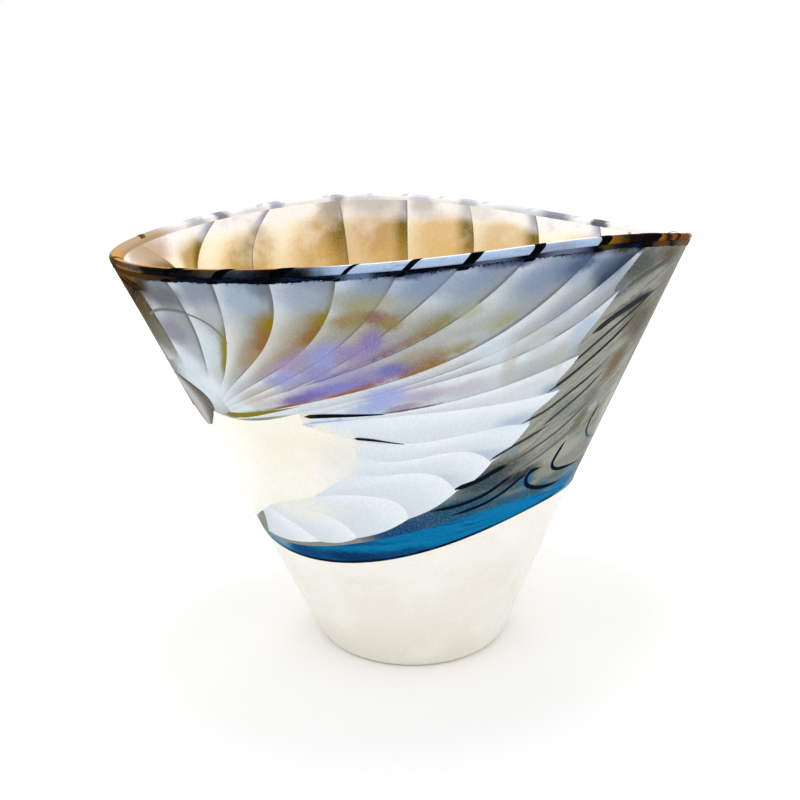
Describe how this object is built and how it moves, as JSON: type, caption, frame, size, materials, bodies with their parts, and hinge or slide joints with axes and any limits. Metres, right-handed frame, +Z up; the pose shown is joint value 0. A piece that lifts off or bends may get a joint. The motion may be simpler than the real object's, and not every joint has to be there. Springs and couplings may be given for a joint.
{
  "type": "art glass vase",
  "caption": "Hand blown flared art glass vase with an oval mouth, ivory base cup, teal seam band, smoke grey bowl and white opal feather plumes.",
  "frame": {"origin": "centre of the round base, on the face that the vase stands on", "axes": "+Z up out of the mouth, -Y towards the viewer of the front fan of plumes, +X to that viewer's right, along the wide way of the mouth"},
  "size_m": [0.2292, 0.1932, 0.1778],
  "materials": {
    "ivory_glass": "opaque satin gloss",
    "amber_lining_glass": "glossy iridescent gold",
    "smoke_glass": "glossy iridescent smoke",
    "teal_glass": "glossy",
    "navy_glass": "glossy",
    "lip_glass": "fire polished",
    "dark_thread_glass": "glossy",
    "opal_plume_glass": "opaque, lightly iridescent",
    "opal_field_glass": "opaque satin gloss",
    "foot_glass": "ground and polished"
  },
  "bodies": {
    "root": {"ground_foot_disc": "foot_glass", "ivory_base_cup": "ivory_glass", "amber_inner_lining": "amber_lining_glass", "smoke_bowl_layer": "smoke_glass", "teal_seam_band": "teal_glass", "navy_seam_thread": "navy_glass", "lip_bead_wrap": "lip_glass", "dark_lip_thread": "navy_glass", "lip_canes": "dark_thread_glass", "front_combed_threads": "dark_thread_glass", "rear_combed_threads": "dark_thread_glass", "front_opal_field": "opal_field_glass", "rear_opal_field": "opal_field_glass", "front_smoke_streaks": "smoke_glass", "rear_smoke_streaks": "smoke_glass", "front_plume_01": "opal_plume_glass", "front_plume_02": "opal_plume_glass", "front_plume_03": "opal_plume_glass", "front_plume_04": "opal_plume_glass", "front_plume_05": "opal_plume_glass", "front_plume_06": "opal_plume_glass", "front_plume_07": "opal_plume_glass", "front_plume_08": "opal_plume_glass", "front_plume_09": "opal_plume_glass", "front_plume_10": "opal_plume_glass", "front_plume_11": "opal_plume_glass", "front_plume_12": "opal_plume_glass", "front_plume_13": "opal_plume_glass", "front_plume_14": "opal_plume_glass", "front_plume_15": "opal_plume_glass", "front_plume_16": "opal_plume_glass", "front_plume_17": "opal_plume_glass", "front_plume_18": "opal_plume_glass", "front_plume_19": "opal_plume_glass", "rear_plume_01": "opal_plume_glass", "rear_plume_02": "opal_plume_glass", "rear_plume_03": "opal_plume_glass", "rear_plume_04": "opal_plume_glass", "rear_plume_05": "opal_plume_glass", "rear_plume_06": "opal_plume_glass", "rear_plume_07": "opal_plume_glass", "rear_plume_08": "opal_plume_glass", "rear_plume_09": "opal_plume_glass", "rear_plume_10": "opal_plume_glass", "rear_plume_11": "opal_plume_glass", "rear_plume_12": "opal_plume_glass", "rear_plume_13": "opal_plume_glass", "rear_plume_14": "opal_plume_glass", "rear_plume_15": "opal_plume_glass", "rear_plume_16": "opal_plume_glass", "rear_plume_17": "opal_plume_glass", "rear_plume_18": "opal_plume_glass", "rear_plume_19": "opal_plume_glass"}
  },
  "joints": []
}
